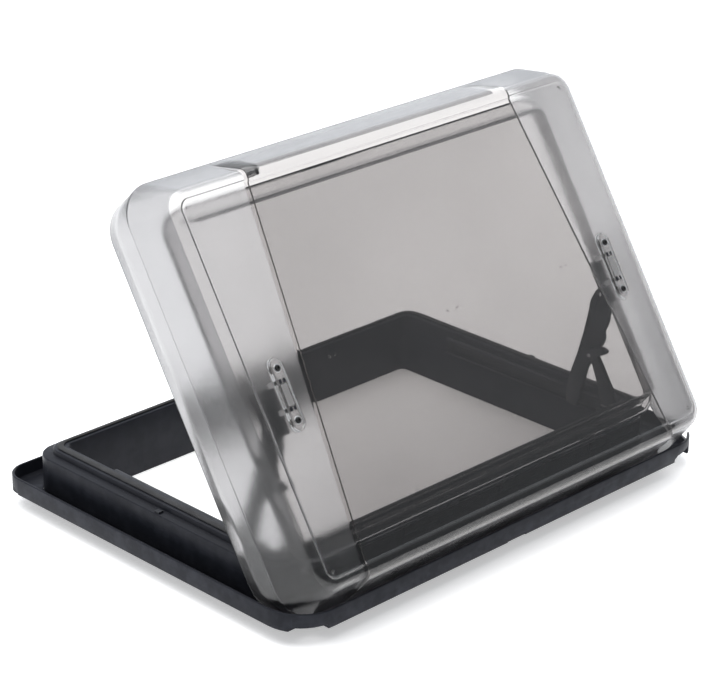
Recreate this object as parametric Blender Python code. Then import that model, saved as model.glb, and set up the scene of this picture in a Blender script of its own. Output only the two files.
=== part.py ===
"""Hinged double-skin roof vent cover: black base frame, tinted dome, two folding stays. Metres, Z up."""

import math

import bmesh
import bpy
from mathutils import Matrix, Vector

for old in list(bpy.data.objects):
    bpy.data.objects.remove(old, do_unlink=True)

# The whole object is laid out about the frame's centre, then moved by this, so that the origin is the
# centre of the underside of the object's box.
SHIFT_Y = 0.0092
SHIFT_Z = 0.0200

# Base frame.
HALF_W = 0.3925
HALF_L = 0.2925
RIM_TOP = 0.0255
RIM_WALL = 0.0035
FLOOR_TOP = 0.0035
REAR_R = 0.034
FRONT_R = 0.058
COLLAR_X = 0.3620
COLLAR_Y0 = -0.2140
COLLAR_Y1 = 0.2620
COLLAR_R = 0.032
LEDGE_Z = 0.0545
FLANGE_Z = 0.0622
NECK_Z = -0.0200

# Lid. Heights and depths are for the closed lid.
PIVOT_Y = -0.2236
PIVOT_Z = 0.0473
OPEN_ANGLE = math.radians(57.5)
SKIN = 0.0030
DOME_X = 0.3862
DOME_Y0 = -0.2800
DOME_Y1 = 0.2835
SKIRT_Z = 0.0175
CREASE_Z = 0.0620
CROWN_Z = 0.1232
STRIP_Z = 0.1270
PANEL_Z = 0.1308
PANE_Z = 0.1030
STRIP_X = 0.3065

# Stays. The arm's ends are for the open lid.
ARM_X = 0.3100
ARM_Y = -0.15843
ARM_Z = 0.21790
TAIL_Y = -0.1135
TAIL_Z = 0.0470
KNEE_Y = -0.1490
KNEE_Z = 0.1255
GAP = 0.0004
SHARP = math.radians(32.0)

PART = bpy.data.collections.new("roof_vent_cover")
CUTTERS = bpy.data.collections.new("cutters")
bpy.context.scene.collection.children.link(PART)
bpy.context.scene.collection.children.link(CUTTERS)


def material(name, colour, roughness, metallic=0.0, transmission=0.0, alpha=1.0):
    made = bpy.data.materials.new(name)
    made.use_nodes = True
    shader = made.node_tree.nodes["Principled BSDF"]
    shader.inputs["Base Color"].default_value = (*colour, 1.0)
    shader.inputs["Roughness"].default_value = roughness
    shader.inputs["Metallic"].default_value = metallic
    shader.inputs["Transmission Weight"].default_value = transmission
    shader.inputs["Alpha"].default_value = alpha
    made.diffuse_color = (*colour, alpha)
    return made


BLACK = (0.020, 0.021, 0.025)
SMOKE = (0.36, 0.35, 0.34)


def finish(name, bm, colour=BLACK, roughness=0.45, moving=None, metallic=0.0, clear=False):
    """Turns a bmesh into a node. With moving="lid" its points are those of the closed lid."""
    bmesh.ops.remove_doubles(bm, verts=bm.verts, dist=1e-6)
    bmesh.ops.recalc_face_normals(bm, faces=bm.faces)
    volume = bm.calc_volume(signed=True)
    if volume < 0:
        bmesh.ops.reverse_faces(bm, faces=bm.faces)
    mesh = bpy.data.meshes.new(name)
    if moving is None:
        place = Matrix.Translation((0.0, SHIFT_Y, SHIFT_Z))
        base = Vector((0.0, 0.0, 0.0))
    elif moving == "lid":
        base = Vector((0.0, PIVOT_Y, PIVOT_Z))
        place = Matrix.Translation((0.0, PIVOT_Y + SHIFT_Y, PIVOT_Z + SHIFT_Z))
        place = place @ Matrix.Rotation(OPEN_ANGLE, 4, "X")
    else:
        base = Vector(moving)
        place = Matrix.Translation(base + Vector((0.0, SHIFT_Y, SHIFT_Z)))
    bmesh.ops.translate(bm, verts=bm.verts, vec=-base)
    bm.to_mesh(mesh)
    bm.free()
    mesh.shade_smooth()
    mesh.set_sharp_from_angle(angle=SHARP)
    obj = bpy.data.objects.new(name, mesh)
    obj.matrix_world = place
    mesh.materials.append(
        material(name + "_mat", colour, roughness, metallic, 0.9 if clear else 0.0, 0.45 if clear else 1.0)
    )
    PART.objects.link(obj)
    return obj


def cutter(obj):
    """Moves a finished node to the cutters' collection."""
    PART.objects.unlink(obj)
    CUTTERS.objects.link(obj)
    obj.hide_render = True
    obj.display_type = "WIRE"
    return obj


def boolean(obj, other, operation):
    step = obj.modifiers.new(other.name, "BOOLEAN")
    step.operation = operation
    step.solver = "EXACT"
    step.object = other


def corner_points(x0, x1, y0, y1, radii, steps=10):
    """A rounded rectangle, anticlockwise from the far right corner, whose radius comes first."""
    spots = ((x1, y1, 0, -1, -1), (x0, y1, 90, 1, -1), (x0, y0, 180, 1, 1), (x1, y0, 270, -1, 1))
    points = []
    for (x, y, start, sx, sy), r in zip(spots, radii):
        for i in range(steps + 1):
            a = math.radians(start + 90.0 * i / steps)
            points.append((x + sx * r + r * math.cos(a), y + sy * r + r * math.sin(a)))
    return points


def loop(bm, points, z):
    """z is one height, or a function of the point."""
    return [bm.verts.new((x, y, z(x, y) if callable(z) else z)) for x, y in points]


def bridge(bm, a, b):
    n = len(a)
    for i in range(n):
        j = (i + 1) % n
        bm.faces.new((a[i], a[j], b[j], b[i]))


def ring(name, sections, **keep):
    """A hollow ring: its section runs through the loops in order and closes on itself."""
    bm = bmesh.new()
    loops = [loop(bm, points, z) for points, z in sections]
    for a, b in zip(loops, loops[1:] + loops[:1]):
        bridge(bm, a, b)
    return finish(name, bm, **keep)


def stack(name, sections, shape=None, **keep):
    """A solid through the loops in order, both ends filled. shape moves each point once it is placed."""
    bm = bmesh.new()
    loops = [loop(bm, points, z) for points, z in sections]
    if shape:
        for v in bm.verts:
            shape(v.co)
    for a, b in zip(loops, loops[1:]):
        bridge(bm, a, b)
    bm.faces.new(loops[0][::-1])
    bm.faces.new(loops[-1])
    return finish(name, bm, **keep)


def extrude(name, outline, along, **keep):
    """One flat face, drawn out along a vector."""
    bm = bmesh.new()
    face = bm.faces.new([bm.verts.new(point) for point in outline])
    drawn = bmesh.ops.extrude_face_region(bm, geom=[face])["geom"]
    bmesh.ops.translate(bm, verts=[v for v in drawn if isinstance(v, bmesh.types.BMVert)], vec=along)
    return finish(name, bm, **keep)


def extrude_x(name, outline, x0, x1, **keep):
    """outline is (y, z) points; the solid runs from x0 to x1."""
    return extrude(name, [(x0, y, z) for y, z in outline], (x1 - x0, 0.0, 0.0), **keep)


def extrude_y(name, outline, y0, y1, **keep):
    """outline is (x, z) points; the solid runs from y0 to y1."""
    return extrude(name, [(x, y0, z) for x, z in outline], (0.0, y1 - y0, 0.0), **keep)


def box(name, x0, x1, y0, y1, z0, z1, **keep):
    bm = bmesh.new()
    middle = Matrix.Translation(((x0 + x1) / 2, (y0 + y1) / 2, (z0 + z1) / 2))
    size = Matrix.Diagonal((abs(x1 - x0), y1 - y0, z1 - z0, 1.0))
    bmesh.ops.create_cube(bm, size=1.0, matrix=middle @ size)
    return finish(name, bm, **keep)


def circle(y, z, r, n=20):
    turn = 2 * math.pi / n
    return [(y + r * math.cos(turn * i), z + r * math.sin(turn * i)) for i in range(n)]


def rod(name, middle, turn, r, length, n, **keep):
    bm = bmesh.new()
    place = Matrix.Translation(middle) @ turn
    bmesh.ops.create_cone(bm, cap_ends=True, segments=n, radius1=r, radius2=r, depth=length, matrix=place)
    return finish(name, bm, **keep)


def rod_x(name, y, z, r, x0, x1, n=20, **keep):
    lying = Matrix.Rotation(math.pi / 2, 4, "Y")
    return rod(name, ((x0 + x1) / 2, y, z), lying, r, abs(x1 - x0), n, **keep)


def rod_z(name, x, y, r, z0, z1, n=20, **keep):
    return rod(name, (x, y, (z0 + z1) / 2), Matrix.Identity(4), r, z1 - z0, n, **keep)


# ---------------------------------------------------------------- base frame


def frame_loop(inset):
    rear = max(REAR_R - inset, 0.002)
    front = max(FRONT_R - inset, 0.002)
    x = HALF_W - inset
    y = HALF_L - inset
    return corner_points(-x, x, -y, y, (rear, rear, front, front))


def collar_loop(inset, front=None, back=None):
    r = max(COLLAR_R - 0.6 * inset, 0.010)
    x = COLLAR_X - inset
    y0 = COLLAR_Y0 + (inset if front is None else front)
    y1 = COLLAR_Y1 - (inset if back is None else back)
    return corner_points(-x, x, y0, y1, (r, r, r, r))


gutter = ring(
    "gutter_frame",
    [
        (frame_loop(0.0016), 0.0),
        (frame_loop(0.0), 0.0016),
        (frame_loop(0.0), RIM_TOP - 0.0010),
        (frame_loop(0.0010), RIM_TOP),
        (frame_loop(RIM_WALL - 0.0008), RIM_TOP),
        (frame_loop(RIM_WALL), RIM_TOP - 0.0008),
        (frame_loop(RIM_WALL), FLOOR_TOP + 0.004),
        (frame_loop(RIM_WALL + 0.004), FLOOR_TOP),
        (collar_loop(-GAP), FLOOR_TOP),
        (collar_loop(-GAP), 0.0),
    ],
    roughness=0.42,
)
NOTCHES = (
    # Front edge, in (x, z).
    ((-0.3850, -0.01), (-0.3835, 0.0068), (-0.3425, 0.0074), (-0.3400, -0.01)),
    ((-0.0205, -0.01), (-0.0185, 0.0038), (0.0165, 0.0040), (0.0190, -0.01)),
    ((0.3215, -0.01), (0.3245, 0.0055), (0.3310, 0.0098), (0.3600, 0.0135), (0.3620, -0.01)),
)
for i, outline in enumerate(NOTCHES):
    deep = -0.2895 if i == 1 else -0.2620
    cut = cutter(extrude_y(f"cut_drain_front_{i}", outline, -0.30, deep))
    boolean(gutter, cut, "DIFFERENCE")
SIDE_NOTCH = ((0.2570, -0.01), (0.2590, 0.0050), (0.2660, 0.0090), (0.2800, 0.0100), (0.2830, -0.01))
for side, tag in ((-1, "left"), (1, "right")):
    cut = cutter(extrude_x(f"cut_drain_{tag}", SIDE_NOTCH, side * 0.3892, side * 0.40))
    boolean(gutter, cut, "DIFFERENCE")
# The weir cut down into the rim beside the right hinge corner.
weir = [(-0.2760, 0.040), (-0.2700, 0.0085), (-0.2520, 0.0085), (-0.2450, 0.040)]
boolean(gutter, cutter(extrude_x("cut_weir", weir, 0.365, 0.40)), "DIFFERENCE")

ring(
    "collar",
    [
        (collar_loop(0.0), 0.0),
        (collar_loop(0.0), LEDGE_Z - 0.0012),
        (collar_loop(0.0012), LEDGE_Z),
        (collar_loop(0.0135, 0.0065, 0.0115), LEDGE_Z),
        (collar_loop(0.0140, 0.0070, 0.0120), FLANGE_Z - 0.0012),
        (collar_loop(0.0152, 0.0082, 0.0132), FLANGE_Z),
        (collar_loop(0.0333, 0.0228, 0.0263), FLANGE_Z),
        (collar_loop(0.0345, 0.0240, 0.0275), FLANGE_Z - 0.0012),
        (collar_loop(0.0475, 0.0320, 0.0335), NECK_Z),
        (collar_loop(0.0445, 0.0290, 0.0305), NECK_Z),
        (collar_loop(0.0330, 0.0215, 0.0250), LEDGE_Z - 0.0035),
        (collar_loop(0.0035, 0.0035, 0.0035), LEDGE_Z - 0.0035),
        (collar_loop(0.0035, 0.0035, 0.0035), 0.0),
    ],
    roughness=0.40,
)
ring(
    "collar_seal",
    [
        (collar_loop(0.0190, 0.0118, 0.0165), FLANGE_Z + GAP),
        (collar_loop(0.0190, 0.0118, 0.0165), FLANGE_Z + 0.0018),
        (collar_loop(0.0205, 0.0130, 0.0180), FLANGE_Z + 0.0027),
        (collar_loop(0.0265, 0.0175, 0.0215), FLANGE_Z + 0.0027),
        (collar_loop(0.0280, 0.0188, 0.0228), FLANGE_Z + 0.0018),
        (collar_loop(0.0280, 0.0188, 0.0228), FLANGE_Z + GAP),
    ],
    colour=(0.012, 0.012, 0.013),
    roughness=0.75,
)
box("ledge_clip_left", -0.3606, -0.3520, 0.004, 0.013, LEDGE_Z + GAP, LEDGE_Z + 0.0026)
box("ledge_clip_right", 0.3520, 0.3606, 0.004, 0.013, LEDGE_Z + GAP, LEDGE_Z + 0.0026)

# ---------------------------------------------------------------- guide rails and seats

for side, tag in ((-1, "left"), (1, "right")):
    wall = side * 0.3222
    mouth = side * 0.3150
    inner = side * 0.3209
    outline = [
        (wall, 0.0325),
        (wall, 0.0555),
        (mouth, 0.0555),
        (mouth, 0.0525),
        (inner, 0.0525),
        (inner, 0.0355),
        (mouth, 0.0355),
        (mouth, 0.0325),
    ]
    extrude_y(f"guide_rail_{tag}", outline, -0.1560, 0.1420, roughness=0.35)
    seat = [(-0.1868, 0.0330), (-0.1660, 0.0330), (-0.1660, 0.0500), (-0.1700, 0.0545), (-0.1874, 0.0545)]
    extrude_x(f"stay_seat_{tag}", seat, side * 0.3145, side * 0.2985, roughness=0.4)
    box(
        f"seat_pad_{tag}",
        side * 0.3010,
        side * 0.3120,
        -0.1865,
        -0.1720,
        0.0545 + GAP,
        0.0576,
        colour=(0.22, 0.22, 0.22),
        roughness=0.5,
    )

# ---------------------------------------------------------------- hinge


def knuckle(up):
    """A leaf with its rolled eye round the pivot, in (y, z). The slit faces away from the leaf."""
    outer = 0.0046
    inner = 0.0027
    sign = 1.0 if up else -1.0
    start = math.radians(-90.0 * sign + 14.0)
    sweep = math.radians(332.0)
    n = 22
    points = []
    for i in range(n + 1):
        a = start + sweep * i / n
        points.append((PIVOT_Y + outer * math.cos(a), PIVOT_Z + outer * math.sin(a)))
    for i in range(n + 1):
        a = start + sweep * (n - i) / n
        points.append((PIVOT_Y + inner * math.cos(a), PIVOT_Z + inner * math.sin(a)))
    return points


def leaf_points(up):
    """The eye's outline with the flat leaf spliced into its outer arc."""
    eye = knuckle(up)
    n = 23
    outer = eye[:n]
    inner = eye[n:]
    if up:
        leaf_y0, leaf_y1 = PIVOT_Y - 0.0016, PIVOT_Y + 0.0008
        far = 0.0722
    else:
        leaf_y0, leaf_y1 = PIVOT_Y + 0.0064, PIVOT_Y + 0.0092
        far = 0.0250
    kept = []
    placed = False
    for y, z in outer:
        near_leaf = (z > PIVOT_Z and leaf_y0 - 1e-4 < y < leaf_y1 + 1e-4) if up else (y > PIVOT_Y + 0.0030)
        if near_leaf:
            if not placed:
                if up:
                    kept += [(leaf_y1, PIVOT_Z + 0.0044), (leaf_y1, far)]
                    kept += [(leaf_y0, far), (leaf_y0, PIVOT_Z + 0.0042)]
                else:
                    kept += [
                        (leaf_y0 - 0.0026, PIVOT_Z - 0.0036),
                        (leaf_y0, PIVOT_Z - 0.0060),
                        (leaf_y0, far),
                        (leaf_y1, far),
                        (leaf_y1, PIVOT_Z + 0.0036),
                        (leaf_y0 - 0.0026, PIVOT_Z + 0.0036),
                    ]
                placed = True
            continue
        kept.append((y, z))
    return kept + inner


HINGE_LENGTH = 0.640
KNUCKLES = 7
step = HINGE_LENGTH / KNUCKLES
for k in range(KNUCKLES):
    x0 = -HINGE_LENGTH / 2 + k * step + 0.0004
    x1 = x0 + step - 0.0008
    if k % 2 == 0:
        extrude_x(f"hinge_frame_leaf_{k // 2 + 1}", leaf_points(False), x0, x1, roughness=0.35)
    else:
        extrude_x(f"hinge_lid_leaf_{k // 2 + 1}", leaf_points(True), x0, x1, moving="lid", roughness=0.35)
rod_x(
    "hinge_pin",
    PIVOT_Y,
    PIVOT_Z,
    0.0022,
    -HINGE_LENGTH / 2 - 0.004,
    HINGE_LENGTH / 2 + 0.004,
    colour=(0.32, 0.32, 0.33),
    metallic=1.0,
    roughness=0.3,
)

# ---------------------------------------------------------------- outer dome


def dome_loop(inset, r):
    return corner_points(
        -DOME_X + inset, DOME_X - inset, DOME_Y0 + inset, DOME_Y1 - inset, (r, r, r, r), steps=14
    )


def skirt_bottom(x, y):
    """The skirt's lower edge: low on three sides, and swept up at the hinge side to clear the gutter."""
    low, high = -0.2180, -0.2790
    t = min(max((low - y) / (low - high), 0.0), 1.0)
    return SKIRT_Z + 0.0405 * t**1.6


def lean_out(point):
    """The far wall leans out further than the others: most at the crease, little at the skirt's edge."""
    heights = ((-1.0, 0.0), (SKIRT_Z, 0.0012), (CREASE_Z, 0.0096), (CROWN_Z, 0.0034), (1.0, 0.0034))
    for (z0, a), (z1, b) in zip(heights, heights[1:]):
        if z0 <= point.z < z1:
            push = a + (b - a) * (point.z - z0) / (z1 - z0) if z0 > -1.0 else b
    t = min(max((point.y - 0.12) / 0.12, 0.0), 1.0)
    point.y += push * t * t * (3.0 - 2.0 * t)


def panel_loop(grow, far, near):
    """The raised panel's outline: wider at the hinge, with round far corners."""
    near_half = 0.2925 + grow
    far_half = 0.2360 + grow
    points = []
    r = 0.012
    for sx, turns in ((1, (0, 90)), (-1, (90, 180))):
        cx = sx * (far_half - r)
        for i in range(7):
            a = math.radians(turns[0] + (turns[1] - turns[0]) * i / 6)
            points.append((cx + r * math.cos(a), far - r + r * math.sin(a)))
    r = 0.006
    for sx, turns in ((-1, (180, 270)), (1, (270, 360))):
        cx = sx * (near_half - r)
        for i in range(5):
            a = math.radians(turns[0] + (turns[1] - turns[0]) * i / 4)
            points.append((cx + r * math.cos(a), near + r + r * math.sin(a)))
    return points


def dome_solid(name, t, floor):
    """The dome's outer form shrunk by t. floor is the lower edge's height, or None for the real one."""
    bottom = skirt_bottom if floor is None else floor
    return stack(
        name,
        [
            (dome_loop(t, 0.050 - t), bottom),
            (dome_loop(t, 0.050 - t), CREASE_Z - 0.6 * t),
            (dome_loop(0.0200 + t, 0.046 - t), 0.1175 - 0.9 * t),
            (dome_loop(0.0222 + t, 0.045 - t), CROWN_Z - t),
            (dome_loop(0.0262 + t, 0.043 - t), 0.1266 - t),
            (dome_loop(0.0318 + t, 0.039 - t), 0.1286 - t),
            (dome_loop(0.0361 + t, 0.036 - t), 0.1288 - t),
            (dome_loop(0.0385 + t, 0.034 - t), STRIP_Z - t),
        ],
        shape=lean_out,
        moving="lid",
        colour=SMOKE,
        roughness=0.05,
        clear=True,
    )


def panel_solid(name, t):
    return stack(
        name,
        [
            (panel_loop(0.0070 - t, DOME_Y1 - 0.0010 - t, -0.2818 + t), CREASE_Z + 0.0040),
            (panel_loop(0.0070 - t, 0.2718 - t, -0.2636 + t), 0.1225 - t),
            (panel_loop(0.0062 - t, 0.2700 - t, -0.2606 + t), STRIP_Z - t),
            (panel_loop(0.0026 - t, 0.2600 - t, -0.2556 + t), 0.1304 - t),
            (panel_loop(0.0 - t, 0.2485 - t, -0.2480 + t), PANEL_Z + 0.0012 - t),
        ],
        shape=lean_out,
        moving="lid",
        colour=SMOKE,
        roughness=0.05,
        clear=True,
    )


outer_dome = dome_solid("outer_dome", 0.0, None)
boolean(outer_dome, cutter(panel_solid("add_panel", 0.0)), "UNION")
boolean(outer_dome, cutter(dome_solid("cut_dome", SKIN, -0.05)), "DIFFERENCE")
boolean(outer_dome, cutter(panel_solid("cut_panel", SKIN)), "DIFFERENCE")

# ---------------------------------------------------------------- inner pane


def pane_loop(inset, r=0.030):
    return corner_points(
        -0.3450 + inset, 0.3450 - inset, -0.2208 + inset, 0.2490 - inset, (r, r, r, r), steps=10
    )


bm_sections = [
    (pane_loop(0.0), 0.0668),
    (pane_loop(0.0), 0.0692),
    (pane_loop(0.0130, 0.026), 0.0694),
    (pane_loop(0.0225, 0.022), 0.1000),
    (pane_loop(0.0275, 0.020), PANE_Z),
]
pane_inner = [
    (pane_loop(0.0304, 0.018), PANE_Z - SKIN),
    (pane_loop(0.0255, 0.020), 0.0975),
    (pane_loop(0.0155, 0.024), 0.0668),
]


def pane():
    bm = bmesh.new()
    outside = [loop(bm, points, z) for points, z in bm_sections]
    inside = [loop(bm, points, z) for points, z in pane_inner]
    for a, b in zip(outside, outside[1:]):
        bridge(bm, a, b)
    bm.faces.new(outside[-1])
    for a, b in zip(inside, inside[1:]):
        bridge(bm, a, b)
    bm.faces.new(inside[0][::-1])
    bridge(bm, inside[-1], outside[0])
    return finish("inner_pane", bm, moving="lid", colour=SMOKE, roughness=0.06, clear=True)


pane()

# ---------------------------------------------------------------- bosses, screws, brackets, spacers

BOSS_Y = -0.0145
BOSS_LONG = 0.0480
BOSS_HALF = 0.0115
SCREW_Y = (0.0196, -0.0486)


def pill(half_long, half_wide, n=10):
    """Outline in (x, y) about its own middle, long in y."""
    points = []
    for start, cy in ((0.0, half_long - half_wide), (180.0, half_wide - half_long)):
        for i in range(n + 1):
            a = math.radians(start + 180.0 * i / n)
            points.append((half_wide * math.cos(a), cy + half_wide * math.sin(a)))
    return points


def moved(points, x, y):
    return [(px + x, py + y) for px, py in points]


for side, tag in ((-1, "left"), (1, "right")):
    cx = side * STRIP_X
    wide = moved(pill(BOSS_LONG, BOSS_HALF), cx, BOSS_Y)
    slim = moved(pill(BOSS_LONG - 0.0022, BOSS_HALF - 0.0022), cx, BOSS_Y)
    low = moved(pill(BOSS_LONG - 0.0045, BOSS_HALF - 0.0045), cx, BOSS_Y)
    stack(
        f"boss_{tag}",
        [
            (wide, STRIP_Z + GAP),
            (wide, STRIP_Z + 0.0030),
            (slim, STRIP_Z + 0.0048),
            (low, STRIP_Z + 0.0040),
        ],
        moving="lid",
        colour=SMOKE,
        roughness=0.06,
        clear=True,
    )
    for i, y in enumerate(SCREW_Y):
        head = circle(cx, y, 0.0036, 20)
        top = circle(cx, y, 0.0027, 20)
        stack(
            f"boss_screw_{tag}_{i + 1}",
            [
                (head, STRIP_Z + 0.0052),
                (head, STRIP_Z + 0.0068),
                (top, STRIP_Z + 0.0078),
            ],
            moving="lid",
            colour=(0.10, 0.10, 0.10),
            metallic=1.0,
            roughness=0.35,
        )
    for i, y in enumerate((0.0030, -0.0330)):
        box(
            f"bracket_post_{tag}_{i + 1}",
            cx - 0.0040,
            cx + 0.0040,
            y - 0.0042,
            y + 0.0042,
            PANE_Z + GAP,
            STRIP_Z - SKIN - GAP,
            moving="lid",
        )
    lug = side * 0.3154
    outline = [
        (side * 0.3020, 0.0994),
        (side * 0.3128, 0.0994),
        (side * 0.3182, 0.0955),
        (side * 0.3192, 0.0745),
        (lug, 0.0745),
        (lug, 0.0948),
        (side * 0.3020, 0.0948),
    ]
    bracket = extrude_y(f"lid_bracket_{tag}", outline, BOSS_Y - 0.0458, BOSS_Y + 0.0160, moving="lid")
    # The arm's pivot, as the closed lid sees it.
    back = Matrix.Rotation(-OPEN_ANGLE, 2)
    seen = back @ Vector((ARM_Y - PIVOT_Y, ARM_Z - PIVOT_Z))
    eye_y = PIVOT_Y + seen.x
    eye_z = PIVOT_Z + seen.y
    hole = cutter(
        rod_x(f"cut_eye_{tag}", eye_y, eye_z, 0.0030, side * 0.3100, side * 0.3300, n=24, moving="lid")
    )
    boolean(bracket, hole, "DIFFERENCE")

for i, (x, half) in enumerate(((-0.2170, 0.0047), (0.0, 0.0090), (0.2170, 0.0055))):
    for j, dx in enumerate((-half, half)):
        name = f"spacer_{i * 2 + j + 1}"
        top = PANEL_Z + 0.0012 - SKIN - GAP
        rod_z(name, x + dx, 0.0098, 0.0017, top - 0.0014, top, n=16, moving="lid")

# ---------------------------------------------------------------- stays

# Outlines in (y, z) with the lid open.
BLADE = (
    (-0.1500, 0.2225),
    (-0.1405, 0.2050),
    (-0.1389, 0.1917),
    (-0.1308, 0.1543),
    (-0.1201, 0.1158),
    (-0.1089, 0.0838),
    (-0.1025, 0.0560),
    (-0.1035, 0.0400),
    (-0.1085, 0.0362),
    (-0.1200, 0.0362),
    (-0.1262, 0.0450),
    (-0.1289, 0.0632),
    (-0.1380, 0.1003),
    (-0.1500, 0.1215),
    (-0.1570, 0.1330),
    (-0.1640, 0.1450),
    (-0.1665, 0.1530),
    (-0.1645, 0.1620),
    (-0.1712, 0.1780),
    (-0.1742, 0.2000),
    (-0.1725, 0.2130),
    (-0.1665, 0.2235),
    (-0.1580, 0.2262),
)
HOOK = (
    (-0.1420, 0.1290),
    (-0.1480, 0.1330),
    (-0.1600, 0.1400),
    (-0.1711, 0.1430),
    (-0.1788, 0.1400),
    (-0.1772, 0.1350),
    (-0.1717, 0.1321),
    (-0.1636, 0.1268),
    (-0.1700, 0.1170),
    (-0.1914, 0.0837),
    (-0.2010, 0.0705),
    (-0.1985, 0.0676),
    (-0.1895, 0.0642),
    (-0.1862, 0.0592),
    (-0.1735, 0.0592),
    (-0.1700, 0.0720),
    (-0.1659, 0.0880),
    (-0.1560, 0.1120),
    (-0.1500, 0.1195),
    (-0.1430, 0.1205),
)

for side, tag in ((-1, "left"), (1, "right")):
    joint = (side * ARM_X, ARM_Y, ARM_Z)
    arm = extrude_x(
        f"stay_arm_{tag}",
        BLADE,
        side * 0.3064,
        side * 0.3142,
        moving=joint,
        roughness=0.38,
    )
    eye = cutter(
        rod_x(f"cut_arm_{tag}", ARM_Y, ARM_Z, 0.0030, side * 0.29, side * 0.33, n=24, moving=joint)
    )
    boolean(arm, eye, "DIFFERENCE")
    knee_hole = cutter(
        rod_x(f"cut_knee_{tag}", KNEE_Y, KNEE_Z, 0.0027, side * 0.29, side * 0.33, n=24, moving=joint)
    )
    boolean(arm, knee_hole, "DIFFERENCE")
    rod_x(
        f"arm_pin_{tag}",
        ARM_Y,
        ARM_Z,
        0.0026,
        side * 0.3050,
        side * 0.3198,
        moving=joint,
        colour=(0.30, 0.30, 0.31),
        metallic=1.0,
        roughness=0.3,
    )
    rod_x(f"arm_shoe_{tag}", TAIL_Y, TAIL_Z, 0.0034, side * 0.3146, side * 0.3200, moving=joint)
    rod_x(
        f"knee_pin_{tag}",
        KNEE_Y,
        KNEE_Z,
        0.0023,
        side * 0.2972,
        side * 0.3138,
        moving=joint,
        colour=(0.30, 0.30, 0.31),
        metallic=1.0,
        roughness=0.3,
    )
    knee = (side * ARM_X, KNEE_Y, KNEE_Z)
    link = extrude_x(f"stay_link_{tag}", HOOK, side * 0.2985, side * 0.3056, moving=knee, roughness=0.38)
    link_hole = cutter(
        rod_x(f"cut_link_{tag}", KNEE_Y, KNEE_Z, 0.0027, side * 0.29, side * 0.33, n=24, moving=knee)
    )
    boolean(link, link_hole, "DIFFERENCE")
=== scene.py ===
"""Looks for the roof vent cover: materials, studio, camera, and the fine pieces the CAD leaves out.

Lengths are metres. The lid's pieces are drawn in the closed lid's coordinates, where z is 0 at the
roof, and OPENED turns them about the hinge to where the frame holds the open lid at rest.
"""

import math

import bpy
from mathutils import Matrix, Vector


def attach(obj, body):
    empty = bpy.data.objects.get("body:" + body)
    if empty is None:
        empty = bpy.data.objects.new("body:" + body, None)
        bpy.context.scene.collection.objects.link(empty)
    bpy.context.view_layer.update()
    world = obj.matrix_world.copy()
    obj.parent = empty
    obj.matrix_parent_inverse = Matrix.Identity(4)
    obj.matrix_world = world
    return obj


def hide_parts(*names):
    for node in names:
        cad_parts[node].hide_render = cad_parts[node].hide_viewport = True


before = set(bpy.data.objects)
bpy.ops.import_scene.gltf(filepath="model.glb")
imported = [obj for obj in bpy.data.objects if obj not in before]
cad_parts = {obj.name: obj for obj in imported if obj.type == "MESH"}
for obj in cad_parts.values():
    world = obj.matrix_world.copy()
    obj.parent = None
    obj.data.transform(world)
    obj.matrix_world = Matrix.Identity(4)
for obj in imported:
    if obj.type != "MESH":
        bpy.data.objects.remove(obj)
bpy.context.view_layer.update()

UP = Vector((0.0, 0.0, 1.0))
SHIFT = Vector((0.0, 0.0092, 0.0200))  # from the closed lid's coordinates to the frame's
PIVOT = Vector((0.0, -0.2236, 0.0473))
OPEN_ANGLE = math.radians(57.5)
TO_PIVOT = Matrix.Translation(-PIVOT)
TURN = Matrix.Rotation(OPEN_ANGLE, 4, "X")
OPENED = Matrix.Translation(PIVOT + SHIFT) @ TURN @ TO_PIVOT

# ---------------------------------------------------------------- node helpers

# The colour sockets of a Mix node set to RGBA.
MIX_A, MIX_B, MIX_RESULT = 6, 7, 2


class Nodes:
    """Builds one material's nodes with short calls."""

    def __init__(self, name):
        self.mat = bpy.data.materials.new(name)
        self.mat.use_nodes = True
        self.tree = self.mat.node_tree
        self.tree.nodes.clear()
        self.out = self.add("ShaderNodeOutputMaterial")
        self.coord = self.add("ShaderNodeTexCoord")

    def add(self, kind, **settings):
        node = self.tree.nodes.new(kind)
        for key, value in settings.items():
            setattr(node, key, value)
        return node

    def link(self, source, target):
        self.tree.links.new(source, target)

    def noise(self, scale, detail):
        """Noise in object space, from 0 to 1."""
        mapping = self.add("ShaderNodeMapping")
        self.link(self.coord.outputs["Object"], mapping.inputs["Vector"])
        node = self.add("ShaderNodeTexNoise")
        node.inputs["Scale"].default_value = scale
        node.inputs["Detail"].default_value = detail
        self.link(mapping.outputs["Vector"], node.inputs["Vector"])
        return node.outputs["Fac"]

    def remap(self, source, low, high, to_low, to_high):
        node = self.add("ShaderNodeMapRange")
        node.inputs["From Min"].default_value = low
        node.inputs["From Max"].default_value = high
        node.inputs["To Min"].default_value = to_low
        node.inputs["To Max"].default_value = to_high
        self.link(source, node.inputs["Value"])
        return node.outputs["Result"]

    def mix(self, factor, a, b):
        """A blend of two colours, each a tuple or another node's output."""
        node = self.add("ShaderNodeMix", data_type="RGBA")
        for socket, value in ((node.inputs[MIX_A], a), (node.inputs[MIX_B], b)):
            if isinstance(value, tuple):
                socket.default_value = (*value, 1.0)
            else:
                self.link(value, socket)
        self.link(factor, node.inputs["Factor"])
        return node.outputs[MIX_RESULT]

    def multiply(self, a, b):
        node = self.add("ShaderNodeMath", operation="MULTIPLY")
        self.link(a, node.inputs[0])
        self.link(b, node.inputs[1])
        return node.outputs[0]

    def bump(self, height, strength, distance):
        node = self.add("ShaderNodeBump")
        node.inputs["Strength"].default_value = strength
        node.inputs["Distance"].default_value = distance
        self.link(height, node.inputs["Height"])
        return node.outputs["Normal"]


# ---------------------------------------------------------------- materials

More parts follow.
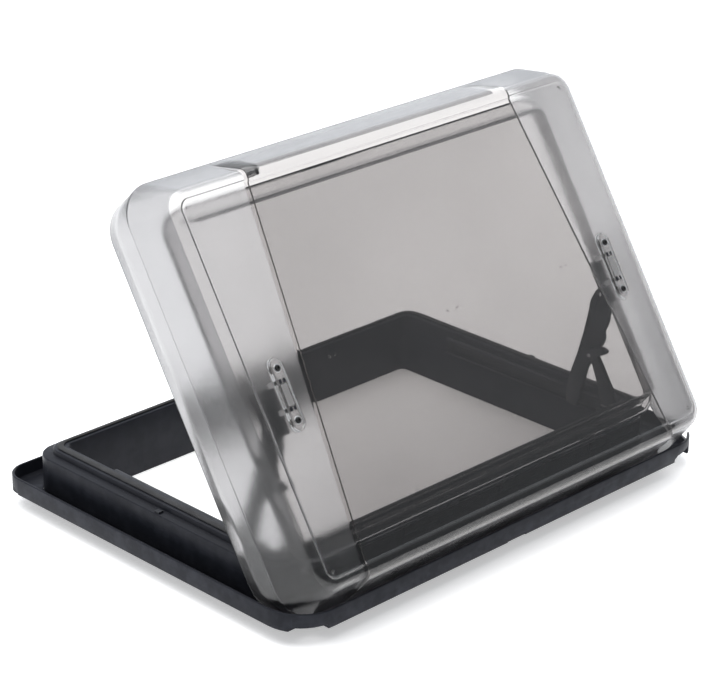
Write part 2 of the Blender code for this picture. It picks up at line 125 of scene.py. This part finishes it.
TONE_DRIFT = 9.0  # noise scales, in waves per metre
GLOSS_DRIFT = 34.0
# patches of the painted edge highlight
HIGHLIGHT_PATCHES = 60.0
MOULD_GRAIN = 900.0
GRAIN_DEPTH = 0.00006
GRAIN_STRENGTH = 0.5
EDGE_STARTS, EDGE_FULL = 0.505, 0.56  # pointiness, which is 0.5 on a flat face
# painted edge highlight: how far sharp edges are painted paler, and how pale
EDGE_HIGHLIGHT = 0.5
HIGHLIGHT_GAIN, HIGHLIGHT_BASE = 2.6, 0.01

ACRYLIC_IOR = 1.49
TINT_DRIFT = 4.0
HAZE_DRIFT = 18.0
DARKER = 0.96
SHADOW_GAIN = 0.97


def moulded(name, dark, light, rough, grain=MOULD_GRAIN, metallic=0.0, shine=0.35):
    """Moulded plastic or metal: fine grain, slow tone drift, uneven gloss, sharp edges painted
    paler as a painted highlight.
    """
    n = Nodes(name)
    shader = n.add("ShaderNodeBsdfPrincipled")
    drift = n.noise(TONE_DRIFT, 4.0)
    body = n.mix(n.remap(drift, 0.3, 0.7, 0.0, 1.0), dark, light)
    geometry = n.add("ShaderNodeNewGeometry")
    # Sharp edges are painted paler, in patches: a painted highlight.
    edge = n.remap(geometry.outputs["Pointiness"], EDGE_STARTS, EDGE_FULL, 0.0, EDGE_HIGHLIGHT)
    patchy_highlight = n.multiply(edge, n.remap(n.noise(HIGHLIGHT_PATCHES, 3.0), 0.4, 0.65, 0.25, 1.0))
    highlight_colour = tuple(min(c * HIGHLIGHT_GAIN + HIGHLIGHT_BASE, 1.0) for c in light)
    n.link(n.mix(patchy_highlight, body, highlight_colour), shader.inputs["Base Color"])
    n.link(n.remap(n.noise(GLOSS_DRIFT, 3.0), 0.3, 0.7, *rough), shader.inputs["Roughness"])
    n.link(n.bump(n.noise(grain, 2.0), GRAIN_STRENGTH, GRAIN_DEPTH), shader.inputs["Normal"])
    shader.inputs["Metallic"].default_value = metallic
    shader.inputs["Specular IOR Level"].default_value = shine
    n.link(shader.outputs[0], n.out.inputs["Surface"])
    return n.mat


def clear(name, tint, rough=(0.004, 0.02)):
    """Tinted clear acrylic. Lamps reach through it, so what is under the lid is lit."""
    n = Nodes(name)
    glass = n.add("ShaderNodeBsdfPrincipled")
    glass.inputs["Transmission Weight"].default_value = 1.0
    glass.inputs["IOR"].default_value = ACRYLIC_IOR
    drift = n.remap(n.noise(TINT_DRIFT, 2.0), 0.35, 0.65, 0.0, 1.0)
    darker = tuple(c * DARKER for c in tint)
    n.link(n.mix(drift, tint, darker), glass.inputs["Base Color"])
    n.link(n.remap(n.noise(HAZE_DRIFT, 3.0), 0.3, 0.7, *rough), glass.inputs["Roughness"])
    through = n.add("ShaderNodeBsdfTransparent")
    through.inputs["Color"].default_value = (*(c**0.5 * SHADOW_GAIN for c in tint), 1.0)
    path = n.add("ShaderNodeLightPath")
    both = n.add("ShaderNodeMixShader")
    n.link(path.outputs["Is Shadow Ray"], both.inputs[0])
    n.link(glass.outputs[0], both.inputs[1])
    n.link(through.outputs[0], both.inputs[2])
    n.link(both.outputs[0], n.out.inputs["Surface"])
    return n.mat


def plain(name, colour, roughness, glow):
    """The lit table: pale, and bright enough of itself that shadows on it stay faint."""
    n = Nodes(name)
    shader = n.add("ShaderNodeBsdfPrincipled")
    shader.inputs["Base Color"].default_value = (*colour, 1.0)
    shader.inputs["Roughness"].default_value = roughness
    shader.inputs["Specular IOR Level"].default_value = 0.2
    shader.inputs["Emission Color"].default_value = (1.0, 1.0, 1.0, 1.0)
    shader.inputs["Emission Strength"].default_value = glow
    n.link(shader.outputs[0], n.out.inputs["Surface"])
    return n.mat


BLACK = moulded(
    "frame_black",
    dark=(0.0108, 0.0116, 0.0156),
    light=(0.0136, 0.0146, 0.0192),
    rough=(0.30, 0.44),
    shine=0.11,
)
BLACK_FINE = moulded(
    "fitting_black",
    dark=(0.0092, 0.0100, 0.0132),
    light=(0.0115, 0.0124, 0.0160),
    rough=(0.32, 0.45),
    grain=1500.0,
    shine=0.2,
)
RUBBER = moulded(
    "seal_rubber_look",
    dark=(0.010, 0.010, 0.011),
    light=(0.017, 0.017, 0.018),
    rough=(0.62, 0.78),
    grain=2200.0,
)
PAD = moulded(
    "grey_pad_look",
    dark=(0.15, 0.15, 0.15),
    light=(0.21, 0.21, 0.21),
    rough=(0.45, 0.6),
)
SCREW = moulded(
    "dark_screw_look",
    dark=(0.012, 0.012, 0.012),
    light=(0.03, 0.03, 0.03),
    rough=(0.25, 0.38),
    metallic=0.8,
)
STEEL = moulded(
    "pin_steel_look",
    dark=(0.30, 0.30, 0.31),
    light=(0.42, 0.42, 0.43),
    rough=(0.22, 0.36),
    metallic=1.0,
)
OUTER = clear("smoked_clear", (0.505, 0.485, 0.475))
# The walls get a darker tint than the rest of the same skin: painted shade.
HAZY_SHADED = clear("smoked_hazy_painted_shade", (0.40, 0.395, 0.40), rough=(0.20, 0.27))
# The frosted strips get a lighter tint than the rest of the same skin: a painted highlight.
STRIP_LIT = clear("smoked_strip_painted_highlight", (0.66, 0.65, 0.645), rough=(0.17, 0.24))
INNER = clear("smoked_pane", (0.560, 0.548, 0.548))
BOSS = clear("smoked_boss", (0.72, 0.71, 0.70))
FROSTED = clear("smoked_boss_core", (0.70, 0.70, 0.70), rough=(0.40, 0.50))

# The first start that fits a node's name gives its look.
LOOKS = (
    ("outer_dome", OUTER),
    ("inner_pane", INNER),
    ("boss_screw", SCREW),
    ("boss_", BOSS),
    ("gutter_frame", BLACK),
    ("collar_seal", RUBBER),
    ("collar", BLACK),
    ("seat_pad", PAD),
    ("spacer", BOSS),
    ("hinge_pin", STEEL),
    ("arm_pin", STEEL),
    ("knee_pin", STEEL),
    ("", BLACK_FINE),
)
SOFT_EDGED = (BLACK, BLACK_FINE, RUBBER, PAD, STEEL)
WELD_DISTANCE = 0.00002
EDGE_ROUNDING = 0.0006
SHARP_EDGE = math.radians(38.0)


def soften_edges(obj):
    """Small roundings on the sharp edges, with smooth shading between them."""
    weld = obj.modifiers.new("weld", "WELD")
    weld.merge_threshold = WELD_DISTANCE
    bevel = obj.modifiers.new("soft_edges", "BEVEL")
    bevel.width = EDGE_ROUNDING
    bevel.segments = 2
    bevel.limit_method = "ANGLE"
    bevel.angle_limit = SHARP_EDGE
    bevel.harden_normals = True
    for polygon in obj.data.polygons:
        polygon.use_smooth = True


for name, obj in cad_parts.items():
    look = next(mat for start, mat in LOOKS if name.startswith(start))
    obj.data.materials.clear()
    obj.data.materials.append(look)
    if look in SOFT_EDGED:
        soften_edges(obj)

# ---------------------------------------------------------------- the two clear skins of the lid

# A shell's faces use these slots of its object.
CLEAR_SLOT, WALL_SLOT, STRIP_SLOT = 0, 1, 2

CORNER_STEPS = 7  # columns, and rows, across a rounded corner
TOP_ROWS = 26
TOP_COLUMNS = 12  # half of a top without a raised panel
PANEL_COLUMNS = 9  # half of the raised panel
BORDER_COLUMNS = 5  # from the raised panel to the corner
PANEL_STEP = 0.0004  # columns over the raised panel's side
PANEL_STEPS = range(-4, 15)
PANEL_SLOPE = 0.0036  # width of the raised panel's side
FROST_FROM = 0.0044  # out from the raised panel's side
SMALLEST_RADIUS = 0.004
SLOPE_SAMPLE = 0.0004
INWARD_SAMPLE = 0.002
LIFT_FADE = 0.012  # insets over which the raised panel runs out at the wall


def clamp(value, low, high):
    return min(max(value, low), high)


def ease(t):
    t = clamp(t, 0.0, 1.0)
    return t * t * (3 - 2 * t)


def gentlest(slope, chord):
    """The slope at one end of a stretch, held so that the curve doesn't overshoot."""
    limit = 3 * chord
    if limit * slope <= 0:
        return 0.0
    return math.copysign(min(abs(slope), abs(limit)), limit)


def profile_at(profile, t):
    """Height at inset t, by a smooth curve through the profile's points."""
    if t <= profile[0][0]:
        return profile[0][1]
    for k in range(len(profile) - 1):
        (a, za), (b, zb) = profile[k], profile[k + 1]
        if t <= b:
            before = profile[max(k - 1, 0)]
            after = profile[min(k + 2, len(profile) - 1)]
            h = b - a
            u = (t - a) / h
            chord = (zb - za) / h
            start = gentlest((zb - before[1]) / (b - before[0]), chord)
            end = gentlest((after[1] - za) / (after[0] - a), chord)
            return (
                za * (1 + 2 * u) * (1 - u) ** 2
                + zb * u * u * (3 - 2 * u)
                + h * (start * u * (1 - u) ** 2 - end * u * u * (1 - u))
            )
    return profile[-1][1]


class Shell:
    """A lid skin's form: a grid across the top, then rings out to the plan outline."""

    def __init__(
        self, x, y0, y1, radius, inner, profile, raised=None, low=None, bend=None, wall_to=0.0
    ):
        """The plan is x either side of 0 and y0 to y1, with corners of this radius.

        inner is the inset where the top's grid ends, and profile gives the height at each inset.
        raised gives half the raised panel's width at y, low the skirt's lower edge at (x, y),
        and bend moves a finished point. Insets under wall_to belong to the wall.
        """
        self.x, self.y0, self.y1, self.radius = x, y0, y1, radius
        self.inner, self.profile, self.wall_to = inner, profile, wall_to
        self.raised, self.low, self.bend = raised, low, bend

    def columns(self, y):
        """x of the grid's columns at this y, left to right."""
        edge = self.x - self.inner
        corner = self.x - self.radius
        steps = range(1, CORNER_STEPS + 1)
        rounded = [corner + (edge - corner) * k / CORNER_STEPS for k in steps]
        if self.raised:
            side = self.raised(y)
            panel = [side * k / PANEL_COLUMNS for k in range(1, PANEL_COLUMNS)]
            slope = [side + PANEL_STEP * k for k in PANEL_STEPS]
            width = corner - slope[-1]
            steps = range(1, BORDER_COLUMNS + 1)
            border = [slope[-1] + width * k / BORDER_COLUMNS for k in steps]
            half = panel + slope + border + rounded
        else:
            flat = [corner * k / TOP_COLUMNS for k in range(1, TOP_COLUMNS + 1)]
            half = flat + rounded
        return [-v for v in reversed(half)] + [0.0] + half

    def rows(self):
        """y of the grid's rows, hinge side first."""
        low, high = self.y0 + self.inner, self.y1 - self.inner
        corner0, corner1 = self.y0 + self.radius, self.y1 - self.radius
        start = [low + (corner0 - low) * k / CORNER_STEPS for k in range(CORNER_STEPS)]
        middle = [corner0 + (corner1 - corner0) * k / TOP_ROWS for k in range(TOP_ROWS + 1)]
        steps = range(1, CORNER_STEPS + 1)
        end = [corner1 + (high - corner1) * k / CORNER_STEPS for k in steps]
        return start + middle + end

    def on_ring(self, x, y, t):
        """Where the grid's edge point (x, y) comes on the ring at inset t."""
        r = max(self.radius - t, SMALLEST_RADIUS)
        reach = self.radius - self.inner
        over_x = max(abs(x) - (self.x - self.radius), 0.0) / reach
        over_y = max(y - (self.y1 - self.radius), self.y0 + self.radius - y, 0.0) / reach
        side_x = math.copysign(1.0, x)
        side_y = 1.0 if y > 0 else -1.0
        ring_x = side_x * (self.x - t)
        ring_y = self.y1 - t if y > 0 else self.y0 + t
        if over_x > 0 and over_y > 0:
            # From the side (0 degrees) round to the front or rear (90 degrees).
            if over_x >= over_y:
                angle = math.radians(45.0 * over_y / over_x)
            else:
                angle = math.radians(90.0 - 45.0 * over_x / over_y)
            round_x = ring_x - side_x * r * (1.0 - math.cos(angle))
            return round_x, ring_y - side_y * r * (1.0 - math.sin(angle))
        if over_y > 0:
            return x, ring_y
        return ring_x, y

    def height(self, t):
        return profile_at(self.profile, t)

    def frosted(self, x, y):
        """The skin is hazy outside the raised panel."""
        return bool(self.raised) and abs(x) > self.raised(y) + FROST_FROM

    def lift(self, x, y):
        """How far the raised panel stands off the skin here: 0 outside it, 1 inside."""
        if not self.raised:
            return 0.0
        return 1.0 - ease((abs(x) - self.raised(y)) / PANEL_SLOPE)


class Skin:
    """Builds a shell's mesh from the middle of its top out to the skirt's lower edge."""

    def __init__(self, shell, lift_height):
        self.shell, self.lift_height = shell, lift_height
        self.verts, self.faces, self.slots = [], [], []

    def point(self, x, y, z, normal=UP, lifted=0.0):
        spot = Vector((x, y, z)) + normal * (self.lift_height * lifted)
        self.verts.append(self.shell.bend(spot) if self.shell.bend else spot)
        return len(self.verts) - 1

    def top_slot(self, x, y):
        return STRIP_SLOT if self.shell.frosted(x, y) else CLEAR_SLOT

    def add_top(self):
        """The grid. It gives its edge back, as indices and as places in the plan."""
        rows = [[(x, y) for x in self.shell.columns(y)] for y in self.shell.rows()]
        z = self.shell.height(self.shell.inner)
        at = [[self.point(x, y, z, UP, self.shell.lift(x, y)) for x, y in row] for row in rows]
        right, far = len(rows[0]) - 1, len(rows) - 1
        for j in range(far):
            for i in range(right):
                self.faces.append((at[j][i], at[j][i + 1], at[j + 1][i + 1], at[j + 1][i]))
                (xa, ya), (xb, yb) = rows[j][i], rows[j + 1][i + 1]
                self.slots.append(self.top_slot((xa + xb) / 2, (ya + yb) / 2))
        edge = [(i, 0) for i in range(right)] + [(right, j) for j in range(far)]
        edge += [(i, far) for i in range(right, 0, -1)] + [(0, j) for j in range(far, 0, -1)]
        return [at[j][i] for i, j in edge], [rows[j][i] for i, j in edge]

    def ring_point(self, x, y, t):
        """The point at inset t that follows the grid's edge point (x, y)."""
        shell = self.shell
        before, after = max(t - SLOPE_SAMPLE, 0.0), t + SLOPE_SAMPLE
        rise = (shell.height(after) - shell.height(before)) / (after - before)
        px, py = shell.on_ring(x, y, t)
        qx, qy = shell.on_ring(x, y, t + INWARD_SAMPLE)
        inward = Vector((qx - px, qy - py, 0.0)).normalized()
        lifted = shell.lift(px, py) * ease(t / LIFT_FADE)
        return self.point(px, py, shell.height(t), (UP - inward * rise).normalized(), lifted)

    def skirt_point(self, x, y, step):
        """The point this part of the way from the outline down to the skirt's lower edge."""
        px, py = self.shell.on_ring(x, y, 0.0)
        top = self.shell.height(0.0)
        return self.point(px, py, top + (self.shell.low(px, py) - top) * step)

    def add_band(self, before, ring, wall):
        """Faces between two loops of points."""
        for k, start in enumerate(ring):
            m = (k + 1) % len(ring)
            self.faces.append((before[k], start, ring[m], before[m]))
            spot = self.verts[start]
            self.slots.append(WALL_SLOT if wall else self.top_slot(spot.x, spot.y))

    def build(self, rings, skirt):
        """rings holds insets from the outline in, skirt parts of the way down from 0 to 1."""
        loop, plan = self.add_top()
        for t in reversed(rings):
            ring = [self.ring_point(x, y, t) for x, y in plan]
            self.add_band(loop, ring, t < self.shell.wall_to)
            loop = ring
        for step in skirt:
            ring = [self.skirt_point(x, y, step) for x, y in plan]
            self.add_band(loop, ring, True)
            loop = ring


def opened_object(name, points, faces, slots, mats):
    """A smooth object from points in the closed lid's coordinates."""
    mesh = bpy.data.meshes.new(name)
    mesh.from_pydata([tuple(OPENED @ Vector(p)) for p in points], [], faces)
    for mat in mats:
        mesh.materials.append(mat)
    for polygon, slot in zip(mesh.polygons, slots):
        polygon.material_index = slot
        polygon.use_smooth = True
    obj = bpy.data.objects.new(name, mesh)
    bpy.context.scene.collection.objects.link(obj)
    return obj


def shell_object(name, shell, rings, skirt, thickness, lift_height, mats):
    skin = Skin(shell, lift_height)
    skin.build(rings, skirt)
    obj = opened_object(name, skin.verts, skin.faces, skin.slots, mats)
    wall = obj.modifiers.new("wall", "SOLIDIFY")
    wall.thickness = thickness
    wall.offset = -1.0
    wall.use_even_offset = False
    return obj


PANEL_HALF = 0.2366  # at y PANEL_HALF_AT
PANEL_HALF_AT = 0.2700
PANEL_TAPER = 0.105
PANEL_Y = (-0.28, 0.29)

SKIRT_LOW = 0.0175
SKIRT_RISE = 0.0405  # at the hinge
SKIRT_RISES_FROM, SKIRT_RISES_TO = -0.2180, -0.2790
SKIRT_RISE_POWER = 1.6

LEAN = ((0.0175, 0.0012), (0.0620, 0.0096), (0.1232, 0.0034))  # height, push out
LEAN_Y = 0.12
LEAN_REACH = 0.12


def panel_side(y):
    """Half the raised panel's width: wider towards the hinge."""
    return PANEL_HALF - PANEL_TAPER * (clamp(y, *PANEL_Y) - PANEL_HALF_AT)


def skirt_low(x, y):
    """The skirt's lower edge, which curves up near the hinge."""
    t = clamp((SKIRT_RISES_FROM - y) / (SKIRT_RISES_FROM - SKIRT_RISES_TO), 0.0, 1.0)
    return SKIRT_LOW + SKIRT_RISE * t**SKIRT_RISE_POWER


def lean_out(point):
    """The far wall leans out more than the others: most at the crease, little at the skirt."""
    z = clamp(point.z, LEAN[0][0], LEAN[-1][0])
    push = LEAN[-1][1]
    for (z0, a), (z1, b) in zip(LEAN, LEAN[1:]):
        if z0 <= z < z1:
            push = a + (b - a) * (z - z0) / (z1 - z0)
    return point + Vector((0.0, push * ease((point.y - LEAN_Y) / LEAN_REACH), 0.0))


DOME = Shell(
    x=0.3860,
    y0=-0.2798,
    y1=0.2833,
    radius=0.050,
    inner=0.0450,
    profile=(
        (0.0, 0.0618),
        (0.0005, 0.0632),
        (0.0185, 0.1135),
        (0.0198, 0.1172),
        (0.0212, 0.1206),
        (0.0232, 0.1240),
        (0.0258, 0.1266),
        (0.0288, 0.1280),
        (0.0318, 0.1286),
        (0.0348, 0.1286),
        (0.0362, 0.1280),
        (0.0376, 0.1268),
        (0.0390, 0.1262),
        (0.0412, 0.1260),
        (0.0450, 0.1260),
    ),
    raised=panel_side,
    low=skirt_low,
    bend=lean_out,
    wall_to=0.0205,
)
DOME_RINGS = [0.0, 0.0005, 0.0012, 0.004, 0.008, 0.012, 0.016]
DOME_RINGS += [0.0175 + 0.0007 * k for k in range(39)]
DOME_SKIRT = (0.03, 0.5, 1.0)
DOME_WALL = 0.0029
PANEL_HEIGHT = 0.0040

dome = shell_object(
    "dome_skin", DOME, DOME_RINGS, DOME_SKIRT, DOME_WALL, PANEL_HEIGHT, (OUTER, HAZY_SHADED, STRIP_LIT)
)
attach(dome, "lid")
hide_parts("outer_dome")

PANE = Shell(
    x=0.3448,
    y0=-0.2205,
    y1=0.2488,
    radius=0.0335,
    inner=0.0310,
    profile=(
        (0.0, 0.0690),
        (0.0120, 0.0692),
        (0.0134, 0.0700),
        (0.0144, 0.0722),
        (0.0215, 0.0955),
        (0.0230, 0.0990),
        (0.0252, 0.1017),
        (0.0278, 0.1027),
        (0.0310, 0.1030),
    ),
)
PANE_RINGS = [0.0, 0.006, 0.0115] + [0.0125 + 0.0008 * k for k in range(23)]
PANE_WALL = 0.0028

pane = shell_object("inner_skin", PANE, PANE_RINGS, (), PANE_WALL, 0.0, (INNER,))
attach(pane, "lid")
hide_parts("inner_pane")

# ---------------------------------------------------------------- stay bosses on the lid

BOSS_X = 0.3065
BOSS_Y = -0.0145
BOSS_HALF_LONG = 0.0500
BOSS_HALF_WIDE = 0.0132
BOSS_FORM = (
    # inset, height
    (0.0000, 0.1262),
    (0.0009, 0.1265),
    (0.0015, 0.1273),
    (0.0018, 0.1293),
    (0.0024, 0.1307),
    (0.0034, 0.1315),
    (0.0046, 0.1316),
    (0.0055, 0.1309),
    (0.0059, 0.1299),
    (0.0064, 0.1296),
)
DARK, BRIGHT = 0, 1
SCREW_Y = (0.0196, -0.0486)
SCREW_FORM = (
    # radius, height, slot of the band that starts there
    (0.0054, 0.1298, BRIGHT),
    (0.0054, 0.1303, BRIGHT),
    (0.0050, 0.1306, BRIGHT),
    (0.0040, 0.1306, DARK),
    (0.0038, 0.1318, DARK),
    (0.0031, 0.1324, DARK),
    (0.0018, 0.1325, DARK),
    (0.0016, 0.1323, DARK),
    (0.0015, 0.1310, DARK),
)
POST_Y = (0.0030, -0.0330)
POST_HALF = (0.0036, 0.0034)
POST_Z = (0.1034, 0.1226)
TAB_DX = (-0.0032, 0.0032)
TAB_HALF = (0.0017, 0.0027)
TAB_Z = (0.1297, 0.1304)
TAB_CORNER = 0.0004
PLATE_Y = -0.0150
PLATE_HALF = (0.0046, 0.0140)
PLATE_Z = (0.1297, 0.1302)
BLOCK_CORNER = 0.0009
SHARP_FOLD = math.radians(50.0)
PILL_STEPS = 14
ROUND_STEPS = 24
CORNER_ARC_STEPS = 3


def lofted(name, loops, mats, node=None, slots=None):
    """A closed piece on the lid through the loops, both ends filled.

    slots gives the material slot of the first cap, of each band and of the last cap. The piece
    stands in for the node, if one is given.
    """
    count = len(loops[0])
    faces = [list(range(count))[::-1]]
    for k in range(len(loops) - 1):
        low, high = k * count, (k + 1) * count
        for i in range(count):
            j = (i + 1) % count
            faces.append([low + i, low + j, high + j, high + i])
    last = (len(loops) - 1) * count
    faces.append(list(range(last, last + count)))
    slots = slots or [0] * (len(loops) + 1)
    face_slots = [slots[0]] + [s for s in slots[1:-1] for _ in range(count)] + [slots[-1]]
    points = [p for loop in loops for p in loop]
    obj = opened_object(name, points, faces, face_slots, mats)
    obj.data.set_sharp_from_angle(angle=SHARP_FOLD)
    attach(obj, "lid")
    if node:
        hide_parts(node)


def pill_ring(cx, half_long, half_wide, z):
    points = []
    for start, cy in ((0.0, half_long - half_wide), (180.0, half_wide - half_long)):
        for i in range(PILL_STEPS + 1):
            a = math.radians(start + 180.0 * i / PILL_STEPS)
            x = cx + half_wide * math.cos(a)
            points.append((x, BOSS_Y + cy + half_wide * math.sin(a), z))
    return points


def round_ring(cx, cy, r, z):
    turn = 2 * math.pi / ROUND_STEPS
    angles = [turn * i for i in range(ROUND_STEPS)]
    return [(cx + r * math.cos(a), cy + r * math.sin(a), z) for a in angles]


def block_ring(cx, cy, half, z, r=BLOCK_CORNER):
    points = []
    for sx, sy, start in ((1, 1, 0), (-1, 1, 90), (-1, -1, 180), (1, -1, 270)):
        for i in range(CORNER_ARC_STEPS + 1):
            a = math.radians(start + 90.0 * i / CORNER_ARC_STEPS)
            x = cx + sx * (half[0] - r) + r * math.cos(a)
            points.append((x, cy + sy * (half[1] - r) + r * math.sin(a), z))
    return points


def boss_screw(cx, y, node):
    rings = [round_ring(cx, y, r, z) for r, z, _ in SCREW_FORM]
    slots = [DARK] + [s for _, _, s in SCREW_FORM]
    lofted(f"{node}_look", rings, [SCREW, STEEL], node, slots)


def boss_tab(cx, y, name):
    rings = [block_ring(cx, y, TAB_HALF, z, TAB_CORNER) for z in TAB_Z]
    lofted(name, rings, [BLACK_FINE])


def bracket_post(cx, y, node):
    rings = [block_ring(cx, y, POST_HALF, z) for z in POST_Z]
    lofted(f"{node}_look", rings, [FROSTED], node)


def boss(cx, tag):
    """A pill-shaped boss with a screw at each end, and the stay bracket's fixings inside it."""
    rings = [pill_ring(cx, BOSS_HALF_LONG - i, BOSS_HALF_WIDE - i, z) for i, z in BOSS_FORM]
    lofted(f"boss_{tag}_look", rings, [BOSS], f"boss_{tag}")
    for i, y in enumerate(SCREW_Y, 1):
        boss_screw(cx, y, f"boss_screw_{tag}_{i}")
    for i, y in enumerate(POST_Y):
        for k, dx in enumerate(TAB_DX, 1):
            boss_tab(cx + dx, y, f"boss_tab_{tag}_{i * len(TAB_DX) + k}")
        bracket_post(cx, y, f"bracket_post_{tag}_{i + 1}")
    rings = [block_ring(cx, PLATE_Y, PLATE_HALF, z) for z in PLATE_Z]
    lofted(f"boss_plate_{tag}", rings, [FROSTED])


boss(-BOSS_X, "left")
boss(BOSS_X, "right")

# ---------------------------------------------------------------- camera

CAMERA_AT = Vector((-2.31462, -2.31996, 1.60809)) + SHIFT
YAW = 0.78234
PITCH = 0.41168
ROLL = 0.00777
SENSOR_MM = 36.0
LENS_MM = 133.51


def camera_turn():
    """The camera's rotation, from its yaw from +Y, its pitch down and its roll."""
    level = math.cos(PITCH)
    forward = Vector((math.sin(YAW) * level, math.cos(YAW) * level, -math.sin(PITCH)))
    right = Vector((math.cos(YAW), -math.sin(YAW), 0.0))
    up = right.cross(forward)
    rolled_right = right * math.cos(ROLL) + up * math.sin(ROLL)
    rolled_up = up * math.cos(ROLL) - right * math.sin(ROLL)
    return Matrix((rolled_right, rolled_up, -forward)).transposed()


camera = bpy.data.objects.new("camera", bpy.data.cameras.new("camera"))
bpy.context.scene.collection.objects.link(camera)
bpy.context.scene.camera = camera
camera.data.sensor_width = SENSOR_MM
camera.data.lens = LENS_MM
camera.data.clip_start = 0.05
camera.data.clip_end = 60.0
camera.matrix_world = Matrix.Translation(CAMERA_AT) @ camera_turn().to_4x4()

# ---------------------------------------------------------------- studio

SKY_COLOUR = (0.91, 0.95, 1.0, 1.0)
SKY_BRIGHTEST_TOWARDS = Vector((0.62, 0.70, 0.36)).normalized()
SKY_STRENGTH = (0.34, 1.25)
SKY_SPREAD = (-0.2, 0.95)  # cosines of the angle to the brightest direction
FLOOR_HALF = 12.0
FLOOR_Z = -0.0005


def studio_world():
    """A soft sky, brightest behind the object on the right."""
    world = bpy.data.worlds.new("studio")
    bpy.context.scene.world = world
    world.use_nodes = True
    tree = world.node_tree
    background = tree.nodes["Background"]
    direction = tree.nodes.new("ShaderNodeTexCoord")
    towards = tree.nodes.new("ShaderNodeVectorMath")
    towards.operation = "DOT_PRODUCT"
    towards.inputs[1].default_value = SKY_BRIGHTEST_TOWARDS
    tree.links.new(direction.outputs["Generated"], towards.inputs[0])
    ramp = tree.nodes.new("ShaderNodeMapRange")
    ramp.interpolation_type = "SMOOTHSTEP"
    ramp.inputs["From Min"].default_value = SKY_SPREAD[0]
    ramp.inputs["From Max"].default_value = SKY_SPREAD[1]
    ramp.inputs["To Min"].default_value = SKY_STRENGTH[0]
    ramp.inputs["To Max"].default_value = SKY_STRENGTH[1]
    tree.links.new(towards.outputs["Value"], ramp.inputs["Value"])
    tree.links.new(ramp.outputs["Result"], background.inputs["Strength"])
    background.inputs["Color"].default_value = SKY_COLOUR


def pale_floor():
    mesh = bpy.data.meshes.new("floor")
    signs = ((-1, -1), (1, -1), (1, 1), (-1, 1))
    corners = [(sx * FLOOR_HALF, sy * FLOOR_HALF, FLOOR_Z) for sx, sy in signs]
    mesh.from_pydata(corners, [], [(0, 1, 2, 3)])
    mesh.materials.append(plain("floor_white", (0.84, 0.84, 0.84), roughness=0.9, glow=0.42))
    obj = bpy.data.objects.new("floor", mesh)
    bpy.context.scene.collection.objects.link(obj)
    return obj


def lamp(name, at, target, size, power):
    """A white area lamp that faces the target."""
    data = bpy.data.lights.new(name, "AREA")
    data.shape = "RECTANGLE"
    data.size, data.size_y = size
    data.energy = power
    obj = bpy.data.objects.new(name, data)
    bpy.context.scene.collection.objects.link(obj)
    obj.location = at
    facing = (Vector(target) - Vector(at)).to_track_quat("-Z", "Y")
    obj.rotation_euler = facing.to_euler()
    return obj


studio_world()
floor = pale_floor()
lamp("overhead", at=(-0.3, 0.4, 3.2), target=(0, 0, 0.0), size=(4.0, 4.0), power=150.0)
lamp("left_box", at=(-3.2, 0.8, 1.6), target=(0, 0, 0.3), size=(1.6, 1.6), power=7.0)
right_box = lamp(
    "right_box", at=(1.60, 0.50, 0.58), target=(0.0, 0.50, 0.58), size=(1.1, 0.9), power=7.0
)
right_box.visible_camera = False
right_box.visible_transmission = False

view = bpy.context.scene.view_settings
view.view_transform = "Standard"
view.look = "None"

bpy.context.view_layer.update()
